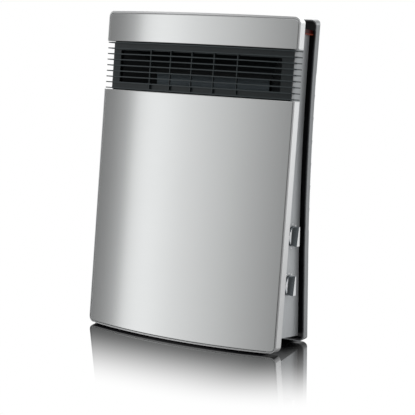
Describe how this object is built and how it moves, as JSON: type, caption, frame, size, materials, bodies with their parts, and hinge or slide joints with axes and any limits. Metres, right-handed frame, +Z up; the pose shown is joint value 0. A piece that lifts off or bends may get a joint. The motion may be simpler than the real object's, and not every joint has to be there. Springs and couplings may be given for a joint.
{
  "type": "fan convector heater",
  "caption": "Slim upright fan heater with a bowed leaning front, finned warm air outlet near the top, side knobs and a curved rear cover.",
  "frame": {"origin": "centre of the footprint on the floor, under the middle of the bounding box", "axes": "+Z up, the bowed front faces -Y, +X to the right as seen from the front, knobs on the +X side"},
  "size_m": [0.2836, 0.1193, 0.402],
  "materials": {
    "satin_aluminium": "satin brushed",
    "frame_silver": "bright silver paint, satin",
    "casing_silver": "grey silver paint, satin",
    "graphite_plastic": "fine matt",
    "black_plastic": "matt",
    "bright_steel": "bright",
    "smoked_red": "translucent dark red",
    "amber_lamp": "clear",
    "filter_mesh": "woven mesh in a frame",
    "rubber": "matt",
    "knob_silver": "silver paint, gloss",
    "switch_plastic": "moulded phenolic",
    "plated_steel": "zinc plated",
    "rotor_plastic": "glass filled, matt",
    "core_steel": "laminated steel",
    "copper_winding": "enamelled copper",
    "sintered_bronze": "sintered bronze",
    "heater_plastic": "heat proof moulding",
    "bare_aluminium": "bare",
    "fuse_ceramic": "ceramic and tinned wire",
    "wire_sleeve": "insulated leads"
  },
  "bodies": {
    "housing": {"lower_panel_skin": "satin_aluminium", "lower_panel_frame": "frame_silver", "upper_panel_skin": "satin_aluminium", "upper_panel_frame": "frame_silver", "outlet_grille": "graphite_plastic", "outlet_bezel": "graphite_plastic", "outlet_duct": "black_plastic", "air_deflector": "bright_steel", "guide_vane": "bright_steel", "front_chassis": "black_plastic", "body_shell": "casing_silver", "pilot_light_cap": "smoked_red", "pilot_lamp": "amber_lamp", "rear_cover": "casing_silver", "rear_liner": "black_plastic", "intake_grille": "graphite_plastic", "dust_filter": "filter_mesh", "filter_guides": "black_plastic", "front_feet": "rubber", "rear_feet": "rubber", "selector_switch": "switch_plastic", "thermostat_body": "plated_steel", "knob_rings": "graphite_plastic", "motor_stator": "core_steel", "motor_coil": "copper_winding", "motor_brackets": "plated_steel", "shaft_bearings": "sintered_bronze", "fan_end_plates": "plated_steel", "fan_scroll": "black_plastic", "heater_frame": "heater_plastic", "ptc_bars": "bare_aluminium", "heater_fins": "bare_aluminium", "thermal_cutout": "plated_steel", "thermal_fuse": "fuse_ceramic", "tilt_switch_housing": "heater_plastic", "tilt_pivot_pin": "bright_steel", "terminal_block": "heater_plastic", "cord_gland": "black_plastic", "internal_wiring": "wire_sleeve", "chassis_screws": "bright_steel", "cover_screws": "bright_steel"},
    "selector_dial": {"selector_knob": "knob_silver", "selector_shaft": "bright_steel"},
    "thermostat_dial": {"thermostat_knob": "knob_silver", "thermostat_shaft": "bright_steel"},
    "fan_group": {"fan_rotor": "rotor_plastic", "fan_shaft": "bright_steel", "motor_rotor": "core_steel"},
    "tilt_weight": {"tilt_pendulum": "plated_steel"}
  },
  "joints": [
    {"name": "selector_turn", "type": "hinge", "parent": "housing", "child": "selector_dial", "pos_m": [0.1355, 0.00776, 0.13663], "axis": [-1, 0, 0], "range_deg": [0, 180]},
    {"name": "thermostat_turn", "type": "hinge", "parent": "housing", "child": "thermostat_dial", "pos_m": [0.1355, -0.00007, 0.07715], "axis": [-1, 0, 0], "range_deg": [0, 270]},
    {"name": "fan_spin", "type": "hinge", "parent": "housing", "child": "fan_group", "pos_m": [0, 0.0071, 0.21741], "axis": [1, 0, 0], "continuous": true},
    {"name": "tilt_swing", "type": "hinge", "parent": "housing", "child": "tilt_weight", "pos_m": [0, 0.00858, 0.04172], "axis": [1, 0, 0], "range_deg": [-25, 25]}
  ]
}
